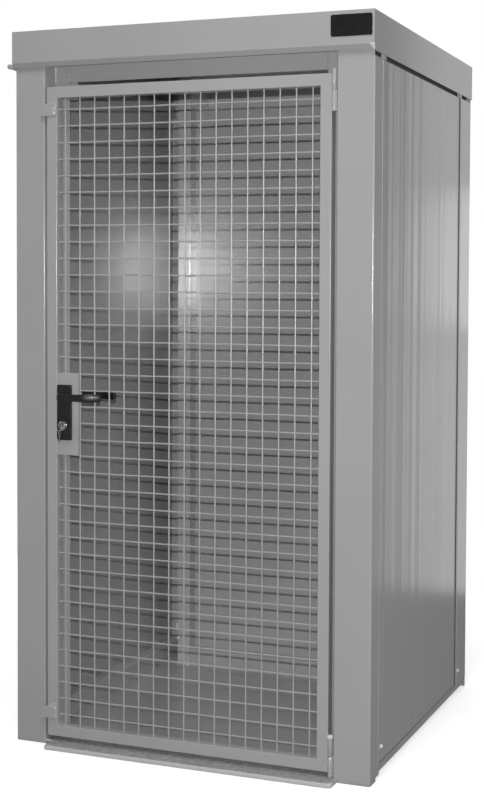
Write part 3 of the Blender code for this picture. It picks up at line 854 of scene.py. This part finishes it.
def hinge(level):
    """A weld-on hinge in two halves: the lower one with the pin on the post, the upper one on the leaf."""
    post_low, post_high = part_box(level + "_hinge_post_half")
    leaf_low, leaf_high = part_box(level + "_hinge_leaf_half")
    x = leaf_high.x - BARREL_R
    y = leaf_low.y + BARREL_R
    base, mid, top = post_low.z, leaf_low.z, leaf_high.z

    bm = bmesh.new()
    turned(bm, ((0.0, base), (BARREL_R - 0.0014, base), (BARREL_R - 0.0004, base + 0.0004),
                (BARREL_R, base + 0.0014), (BARREL_R, mid - 0.0016), (BARREL_R - 0.0008, mid - 0.0007),
                (PIN_R, mid - 0.0007), (PIN_R, post_high.z), (0.0, post_high.z)), x, y)
    block(bm, Vector((x + WING_ROOT, y + 0.0040, base + WING_INSET)),
          Vector((post_high.x, y + WING_T, mid - WING_INSET)))
    finish_mesh(level + "_hinge_pin_half", bm, tube_paint, replaces=(level + "_hinge_post_half",),
                smooth=TURNED_EDGE)

    bm = bmesh.new()
    turned(bm, ((CUP_BORE_R, mid), (BARREL_R - 0.0008, mid), (BARREL_R, mid + 0.0008),
                (BARREL_R, top - 0.0026), (BARREL_R - 0.0008, top - 0.0010), (BARREL_R - 0.0026, top),
                (0.0, top)), x, y)
    block(bm, Vector((leaf_low.x, y, mid + WING_INSET)),
          Vector((x - WING_ROOT, y + WING_T, top - WING_INSET)))
    finish_mesh(level + "_hinge_cup_half", bm, tube_paint, "door", replaces=(level + "_hinge_leaf_half",),
                smooth=TURNED_EDGE)

    bm = bmesh.new()
    # Post welds in light grey: painted highlight
    weld_column(bm, post_high.x - 0.0016, y + 0.0038, base, mid, (0.0026, 0.0042), (0.0042, 0.0062),
                rough=0.2, count=5)
    finish_mesh(level + "_hinge_post_welds", bm, highlight_grey)

    if level == "lower":
        bm = bmesh.new()
        # Cap in light grey: painted highlight
        turned(bm, ((0.0, top - 0.009), (CAP_R - 0.0010, top - 0.009), (CAP_R, top - 0.008),
                    (CAP_R, top - 0.0010), (CAP_R - 0.0010, top + 0.0006), (CAP_R - 0.0030, top + 0.0018),
                    (0.0, top + 0.0022)), x, y)
        finish_mesh("lower_hinge_cap", bm, highlight_grey, "door", smooth=ROUND_EDGE)

    bm = bmesh.new()
    # Leaf welds in the lighter grey: painted highlight
    weld_column(bm, leaf_low.x + 0.0004, y + 0.0030, mid, top, (0.0018, 0.0022), (0.0040, 0.0055),
                rough=0.14, count=6)
    finish_mesh(level + "_hinge_leaf_welds", bm, weld_and_highlight_paint, "door")


hinge("upper")
hinge("lower")


# Tread sill

sill_low, sill_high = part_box("door_sill")
SILL_T = 0.0025
SILL_NOTCH = 0.026
SILL_CORNER = 0.012
NOTCH_R = 0.004
SILL_GAP = 0.0006
LIP_R = 0.0042
TEAR_ROWS = 4
TEAR_ROW_STEP = 0.016
TEAR_PITCH = 0.040
TEAR_SIZE = (0.0085, 0.0028, 0.0014)
SILL_RIGHT = RIGHT_X - HINGE_FACE - 0.0003


def sill_sheet():
    """The sill's sheet, its outer edge rolled down; faces that don't face up are lighter, a painted
    reflection of the bright ground.
    """
    left, front, right = sill_low.x, sill_low.y, sill_high.x
    post_face = FRONT_Y - SILL_GAP
    rim = [(left, sill_high.y), (left, post_face), (left + SILL_NOTCH, post_face)]
    rim += arc((left + SILL_NOTCH + NOTCH_R, front + NOTCH_R), NOTCH_R, 180, 90, steps=3)
    rim += arc((right - SILL_CORNER, front + SILL_CORNER), SILL_CORNER, 270, 90, steps=8)
    rim += [(right, post_face), (SILL_RIGHT, post_face), (SILL_RIGHT, sill_high.y)]
    bm = bmesh.new()
    top = [bm.verts.new((x, y, sill_high.z)) for x, y in rim]
    low = [bm.verts.new((x, y, 0.0)) for x, y in rim]
    bm.faces.new(top)
    join_rings(bm, low, top)
    bmesh.ops.recalc_face_normals(bm, faces=bm.faces)
    if bm.faces[0].normal.z < 0:
        bmesh.ops.reverse_faces(bm, faces=bm.faces)
    outside = [e for e in bm.edges if max(v.co.y for v in e.verts) < FRONT_Y - 0.001]
    upper = [e for e in outside if min(v.co.z for v in e.verts) > 0.5 * sill_high.z]
    round_edges(bm, [e for e in upper if len(e.link_faces) == 2], LIP_R, 4)
    bm.normal_update()
    # Faces that don't face up get the lighter grey: painted reflection
    for face in bm.faces:
        face.material_index = 1 if face.normal.z < 0.75 else 0
    obj = finish_mesh("sill_sheet", bm, galvanised, replaces=("door_sill",),
                      smooth=TURNED_EDGE)
    obj.data.materials.append(sill_lip_reflection_grey)
    solidify(obj, SILL_T)
    flat_shading(obj)


def sill_tears():
    """Raised tears on the sill, leaning one way and the other from row to row."""
    bm = bmesh.new()
    for row in range(TEAR_ROWS):
        y = sill_low.y + 0.014 + row * TEAR_ROW_STEP
        x = sill_low.x + SILL_NOTCH + 0.020 + (row % 2) * TEAR_PITCH / 2
        lean = Matrix.Rotation(math.radians(45 if row % 2 else -45), 4, "Z")
        while x < SILL_RIGHT - 0.012:
            blob(bm, Vector((x, y, sill_high.z - 0.0002)), TEAR_SIZE, turn=lean)
            x += TEAR_PITCH
    finish_mesh("sill_tears", bm, galvanised, smooth=math.radians(80))


sill_sheet()
sill_tears()


# Lock cylinder and keys

cyl_low, cyl_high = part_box("lock_cylinder")
KEY_T = 0.0011
KEY_HALF_W = 0.0034
BOW_R = 0.0105
BOW_DROP = 0.006
SHOULDER = 0.018
RING_R = 0.0096
RING_WIRE_R = 0.0008


def ring_shape(bm, middle, radius, wire, turn, sides=28, around=10):
    """A round ring of wire; turn carries it from the XZ plane."""
    rings = []
    for a in full_turn(sides):
        out = Vector((math.cos(a), 0.0, math.sin(a)))
        section = [out * (radius + wire * math.cos(b)) + Vector((0, wire * math.sin(b), 0))
                   for b in full_turn(around)]
        rings.append([bm.verts.new(middle + turn @ spot) for spot in section])
    for one, two in zip(rings, rings[1:] + rings[:1]):
        join_rings(bm, one, two)


def key_shape(bm, hole, turn, length):
    """A flat key hung by the hole in its bow, its blade reaching down by length before turn is applied."""
    outline = arc((0.0, -BOW_DROP), BOW_R, -60, 300, steps=14)
    outline += [(-KEY_HALF_W, -SHOULDER), (-KEY_HALF_W, -0.020)]
    notches = 7
    for k in range(notches):
        z = -0.022 - (length - 0.024) * k / notches
        outline += [(-KEY_HALF_W + (0.0012 if k % 2 else 0.0), z),
                    (-KEY_HALF_W + (0.0018 if k % 3 else 0.0006), z - 0.0012)]
    outline += [(-0.0010, -length), (0.0022, -length + 0.002), (KEY_HALF_W, -SHOULDER)]
    front = [bm.verts.new(hole + turn @ Vector((x, -KEY_T, z))) for x, z in outline]
    back = [bm.verts.new(hole + turn @ Vector((x, KEY_T, z))) for x, z in outline]
    bm.faces.new(front)
    bm.faces.new(list(reversed(back)))
    join_rings(bm, back, front)


def lock_and_keys():
    """The lock's round face, a key in it and a second one that hangs from the first by a ring."""
    x, z = (cyl_low.x + cyl_high.x) / 2, (cyl_low.z + cyl_high.z) / 2
    face = cyl_low.y
    depth = cyl_high.y - face
    rose_r = (cyl_high.x - cyl_low.x) / 2 - 0.0004
    bm = bmesh.new()
    rose = turned(bm, ((0.0, 0.0), (0.0082, 0.0), (0.0088, 0.0008), (0.0088, 0.0030),
                       (rose_r - 0.0016, 0.0030), (rose_r, 0.0040), (rose_r, depth), (0.0, depth)), sides=36)
    towards_back = Matrix.Rotation(math.radians(-90), 4, "X")
    bmesh.ops.transform(bm, matrix=Matrix.Translation((x, face, z)) @ towards_back, verts=rose)
    finish_mesh("lock_rose", bm, chrome, "door", ("lock_cylinder",), smooth=math.radians(35))

    bm = bmesh.new()
    hole = Vector((x + 0.0030, face - 0.0165, z + 0.0050))
    into_lock = Matrix(((0.42, 0.90, 0.0), (0.0, 0.0, -1.0), (0.90, -0.42, 0.0)))
    key_shape(bm, hole, into_lock, length=0.014)
    ring_at = hole + Vector((0.0004, -0.0004, -0.0100))
    ring_shape(bm, ring_at, RING_R, RING_WIRE_R, Matrix.Rotation(math.radians(25), 3, "Z"))
    hanging = Matrix.Rotation(math.radians(104), 3, "Z") @ Matrix.Rotation(math.radians(7), 3, "Y")
    key_shape(bm, ring_at + Vector((0.0008, 0.0, -0.0092)), hanging, length=0.034)
    bmesh.ops.recalc_face_normals(bm, faces=bm.faces)
    keys = finish_mesh("keys_on_ring", bm, key_steel, "door", smooth=math.radians(40))
    soften(keys, 0.0003, 1)


lock_and_keys()


# Bolts

wall_left_low, wall_left_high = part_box("left_wall")
wall_right_low, wall_right_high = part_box("right_wall")
panel_low, panel_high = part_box("rear_wall")
BOLT_Z = 0.084
BOLT_INSET = 0.0255
BOLT_SCALE = (0.62, 0.62, 0.7)
PANEL_INSET = 0.014
PANEL_MID_Z = 1.05
INNER_DROP = 0.068


def bolt(bm, place, out):
    """A domed bolt head on its washer, standing out along out (a unit axis)."""
    turn = Vector((0.0, 0.0, 1.0)).rotation_difference(out).to_matrix().to_4x4()
    head = turned(bm, ((0.0, 0.0), (0.0125, 0.0), (0.0125, 0.0014), (0.0118, 0.0020), (0.0096, 0.0022),
                       (0.0090, 0.0060), (0.0070, 0.0086), (0.0036, 0.0100), (0.0, 0.0104)), sides=20)
    matrix = Matrix.Translation(place) @ turn @ Matrix.Diagonal((*BOLT_SCALE, 1.0))
    bmesh.ops.transform(bm, matrix=matrix, verts=head)


def wall_bolts():
    """Bolts of the side walls and the rear panel, and small fixings at the foot of the rear posts' lips."""
    bm = bmesh.new()
    left, right = Vector((-1, 0, 0)), Vector((1, 0, 0))
    front_y, rear_y = FRONT_Y + (FRONT_FLANGE + BOLT_INSET), FRONT_Y + (BODY_D - REAR_FLANGE + BOLT_INSET)
    for y, right_x, left_x in ((front_y, wall_right_high.x, wall_left_low.x), (rear_y, RIGHT_X, LEFT_X)):
        bolt(bm, Vector((right_x, y, BOLT_Z)), right)
        bolt(bm, Vector((left_x, y, BOLT_Z)), left)
    for x in (panel_low.x + PANEL_INSET, panel_high.x - PANEL_INSET):
        for z in (BOLT_Z, PANEL_MID_Z, WALL_TOP - 0.06):
            bolt(bm, Vector((x, panel_high.y, z)), Vector((0, 1, 0)))
            bolt(bm, Vector((x, panel_low.y, z - INNER_DROP if z == BOLT_Z else z)), Vector((0, -1, 0)))
    lip_y = BODY_D - REAR_RETURN
    for x, z, size in ((0.1045, 0.111, (0.006, 0.005, 0.006)),
                       (0.1436, 0.0160, (0.010, 0.004, 0.006)),
                       (BODY_W - 0.1155, 0.111, (0.006, 0.005, 0.006))):
        blob(bm, at(x, lip_y - 0.002, z), size, rough=0.08)
    block(bm, at(0.0975, lip_y - 0.0040, 0.140), at(0.1015, lip_y + 0.004, 0.166))
    finish_mesh("wall_bolts", bm, bolt_steel, smooth=math.radians(40))


wall_bolts()


# Seams, vents and the fascia's corner

def seam_sealant():
    """Thin painted sealant in the seams of the side walls, front and rear, in a lighter grey as painted
    highlight.
    """
    bm = bmesh.new()
    levels = (WALL_BOTTOM + 0.004, 0.5, 1.2, WALL_TOP - 0.10, WALL_TOP - 0.030, WALL_TOP - 0.004)
    front_y = FRONT_Y + FRONT_FLANGE - 0.009
    rear_y = (wall_right_high.y + REAR_Y - REAR_FLANGE) / 2
    for x, side in ((RIGHT_X, 1.0), (LEFT_X, -1.0)):
        for y, widths in ((front_y, (0.0006, 0.0009, 0.0015, 0.0021, 0.0027, 0.0051)),
                          (rear_y, (0.0019, 0.0017, 0.0008, 0.0006, 0.0008, 0.0030))):
            middles = [Vector((x + side * 0.0002 - side * w * 0.55, y, z)) for z, w in zip(levels, widths)]
            tube(bm, middles, widths)
    finish_mesh("wall_seam_sealant", bm, weld_and_highlight_paint, smooth=ROUND_EDGE)


def wall_foot_painted_shadow():
    """A grey strip of painted shadow under the foot of each side wall."""
    bm = bmesh.new()
    for low, high, outer, side in ((wall_right_low, wall_right_high, wall_right_high.x, 1.0),
                                   (wall_left_low, wall_left_high, wall_left_low.x, -1.0)):
        x = sorted((outer - side * 0.0016, outer + side * 0.0006))
        block(bm, Vector((x[0], low.y, WALL_BOTTOM - 0.0035)), Vector((x[1], high.y, WALL_BOTTOM + 0.0010)))
    soften(finish_mesh("wall_foot_painted_shadow", bm, wall_foot_shadow_grey), 0.0004, 1)


seam_sealant()
wall_foot_painted_shadow()

GUARD_IN = 0.0146
GUARD_T = 0.0008
GUARD_DROP = 0.016
GUARD_RISE = 0.030


def vent_guards(name, shift, mat):
    """Long strips that stand on edge behind the slots under the roof, on both sides."""
    bm = bmesh.new()
    for x, side in ((LEFT_X, 1.0), (RIGHT_X, -1.0)):
        near = x + side * (GUARD_IN + shift)
        xs = sorted((near, near + side * GUARD_T))
        block(bm, Vector((xs[0], FRONT_Y + POST_T + 0.001, WALL_TOP - GUARD_DROP)),
              Vector((xs[1], REAR_Y - POST_T - 0.001, WALL_TOP + GUARD_RISE)))
    finish_mesh(name, bm, mat, smooth=None)


# Near black towards the slot, which is painted shade; grey paint towards the bay
vent_guards("vent_guard_painted_shade", 0.0, slot_shade_dark)
vent_guards("vent_guards", GUARD_T + 0.0002, grey_paint)


def fascia_corner_welds():
    """Ground weld that closes the mitre of the fascia's fold, at the end without the gutter lip; its light
    grey is painted highlight.
    """
    bm = bmesh.new()
    corner = Vector((roof_high.x - 0.0012, roof_low.y + 0.0006, roof_high.z - FRONT_FASCIA - 0.0005))
    across = Vector((-0.0120, 0.0, 0.0))
    down = Vector((-0.003, FASCIA_FOLD * 0.8, roof_high.z - FRONT_HEM + 0.001 - corner.z))
    rows = 5
    for row in range(rows):
        for step in range(rows - row):
            here = corner + down * (row / (rows - 1)) + across * (step / (rows - 1))
            blob(bm, here, (0.0022, 0.0014, 0.0022), rough=0.1)
    finish_mesh("fascia_corner_welds", bm, highlight_grey)


fascia_corner_welds()


# Finishes of the solids

FINISH_OF = {
    "left_wall": left_wall_paint, "right_wall": wall_paint, "rear_wall": inner_paint,
    "floor_plate": floor_paint, "door_sill": galvanised, "lever_spindle": zinc, "lock_cylinder": chrome,
}
TUBES = (*FRAME_NODES, "lock_plate", "lock_case", "upper_stop_lug", "lower_stop_lug")
for node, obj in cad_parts.items():
    for material_slot in obj.material_slots:
        material_slot.material = FINISH_OF.get(node, tube_paint if node in TUBES else grey_paint)


# Studio floor

WHITE = (1.0, 1.0, 1.0, 1.0)
FLOOR_GLOW = 0.55
FLOOR_REACH = 30
FADE_START = 1.2
FADE_END = 3.6
BACKDROP_Y = 2.0


def studio_floor():
    """Pale floor that fades to white away from the container and ends at the backdrop."""
    mat, tree, shader = new_material("studio_floor", shade(0.80), 0.85, specular=0.1)
    here = coordinates(tree)
    colour_from(tree, shader, noise(tree, here, scale=1.5), shade(0.795), shade(0.805))
    far = tree.nodes.new("ShaderNodeVectorMath")
    far.operation = "LENGTH"
    tree.links.new(here, far.inputs[0])
    shader.inputs["Emission Color"].default_value = WHITE
    glow = span(tree, far.outputs["Value"], FLOOR_GLOW, 1.0, FADE_START, FADE_END)
    tree.links.new(glow, shader.inputs["Emission Strength"])
    bm = bmesh.new()
    left, right, near = -FLOOR_REACH, FLOOR_REACH, -FLOOR_REACH
    corners = ((left, near), (right, near), (right, BACKDROP_Y), (left, BACKDROP_Y))
    bm.faces.new([bm.verts.new((x, y, 0)) for x, y in corners])
    mesh = bpy.data.meshes.new("studio_floor")
    bm.to_mesh(mesh)
    bm.free()
    mesh.materials.append(mat)
    ground = add_object("studio_floor", mesh)
    ground.location.z = -0.0006
    ground.visible_diffuse = False
    ground.visible_glossy = False


studio_floor()


# Camera

CAMERA_AT = Vector((1.7991, -4.1685, 1.4139))
YAW = 0.3491
TILT = -0.0378
ROLL = -0.0063
turn = Matrix.Rotation(YAW, 3, "Z") @ Matrix.Rotation(TILT, 3, "X") @ Matrix.Rotation(ROLL, 3, "Y")
right, ahead, up = turn.col
camera_data = bpy.data.cameras.new("camera")
camera_data.sensor_width = 36.0
camera_data.lens = 62.31
camera_data.shift_x = -0.1125
camera_data.shift_y = -0.0770
camera_data.clip_end = 100.0
camera = add_object("camera", camera_data)
basis = Matrix((right, up, -ahead)).transposed()
camera.matrix_world = Matrix.Translation(CAMERA_AT) @ basis.to_4x4()
bpy.context.scene.camera = camera


# Lights

def add_light(name, kind, place, aim, power):
    data = bpy.data.lights.new(name, kind)
    data.energy = power
    light = add_object(name, data)
    light.location = place
    light.rotation_mode = "QUATERNION"
    light.rotation_quaternion = (Vector(aim) - Vector(place)).to_track_quat("-Z", "Y")
    return light


def area_light(name, place, aim, size, power, shape="RECTANGLE"):
    light = add_light(name, "AREA", place, aim, power)
    light.data.shape = shape
    light.data.size, light.data.size_y = size
    light.visible_camera = False


def corner_glint(name, power, spread):
    """What the rear corner throws back of the flash: a soft beam inside the bay, wider than high."""
    light = add_light(name, "SPOT", at(0.75, 0.10, 1.49), at(0.045, BODY_D - REAR_RETURN, 1.475), power)
    light.data.spot_size = math.radians(spread)
    light.data.spot_blend = 1.0
    light.data.shadow_soft_size = 0.05
    light.scale = (1.4, 1.0, 1.0)


FLASH_ABOVE_LENS = 0.09
BACKDROP_AT = Vector((-0.36, BACKDROP_Y, 1.8))
GLOW_AT = Vector((0.94, BACKDROP_Y - 0.03, 1.54))
GLOW_PER_AREA = 1.6
TO_FRONT = Vector((0.0, -1.0, 0.0))
area_light("flash", CAMERA_AT + up * FLASH_ABOVE_LENS, (0.0, -0.2, 1.15), size=(0.025, 0.018), power=92.0)
area_light("overhead", (0.7, -2.9, 6.2), (0.1, -0.4, 0.9), size=(1.2, 1.2), power=120.0)
area_light("backdrop", BACKDROP_AT, BACKDROP_AT + TO_FRONT, size=(3.28, 3.6), power=30.0)
for wide, high in ((0.12, 0.22), (0.24, 0.42), (0.42, 0.66)):
    area_light("backdrop_glow", GLOW_AT, GLOW_AT + TO_FRONT, size=(wide, high),
               power=GLOW_PER_AREA * wide * high, shape="ELLIPSE")
area_light("right_fill", (5.0, -0.5, 2.2), (0.6, 0.0, 1.0), size=(3.0, 3.0), power=38.0)
area_light("left_fill", (-5.0, 0.8, 2.2), (-0.6, 0.0, 1.0), size=(3.0, 3.0), power=45.0)
corner_glint("glint_core", power=27.0, spread=23.0)
corner_glint("glint_halo", power=10.0, spread=36.0)
corner_glint("glint_haze", power=4.0, spread=52.0)

WORLD_BELOW = 0.235
WORLD_ABOVE = 0.07


def studio_world():
    """White behind everything; what the surfaces see of it is dim, and lighter below the horizon."""
    world = bpy.data.worlds.new("studio")
    bpy.context.scene.world = world
    world.use_nodes = True
    web = world.node_tree
    around = web.nodes["Background"]
    around.inputs["Color"].default_value = WHITE
    place = web.nodes.new("ShaderNodeTexCoord").outputs["Generated"]
    height = add_node(web, "ShaderNodeSeparateXYZ", {}, {"Vector": place}).outputs["Z"]
    dim = span(web, height, WORLD_BELOW, WORLD_ABOVE, start=-0.06, end=0.02)
    web.links.new(dim, around.inputs["Strength"])
    seen = add_node(web, "ShaderNodeBackground", {"Color": WHITE}, {})
    ray = web.nodes.new("ShaderNodeLightPath").outputs["Is Camera Ray"]
    choose = add_node(web, "ShaderNodeMixShader", {},
                      {"Fac": ray, 1: around.outputs["Background"], 2: seen.outputs["Background"]})
    web.links.new(choose.outputs["Shader"], web.nodes["World Output"].inputs["Surface"])


studio_world()

bpy.context.scene.view_settings.view_transform = "Standard"
bpy.context.scene.view_settings.look = "None"
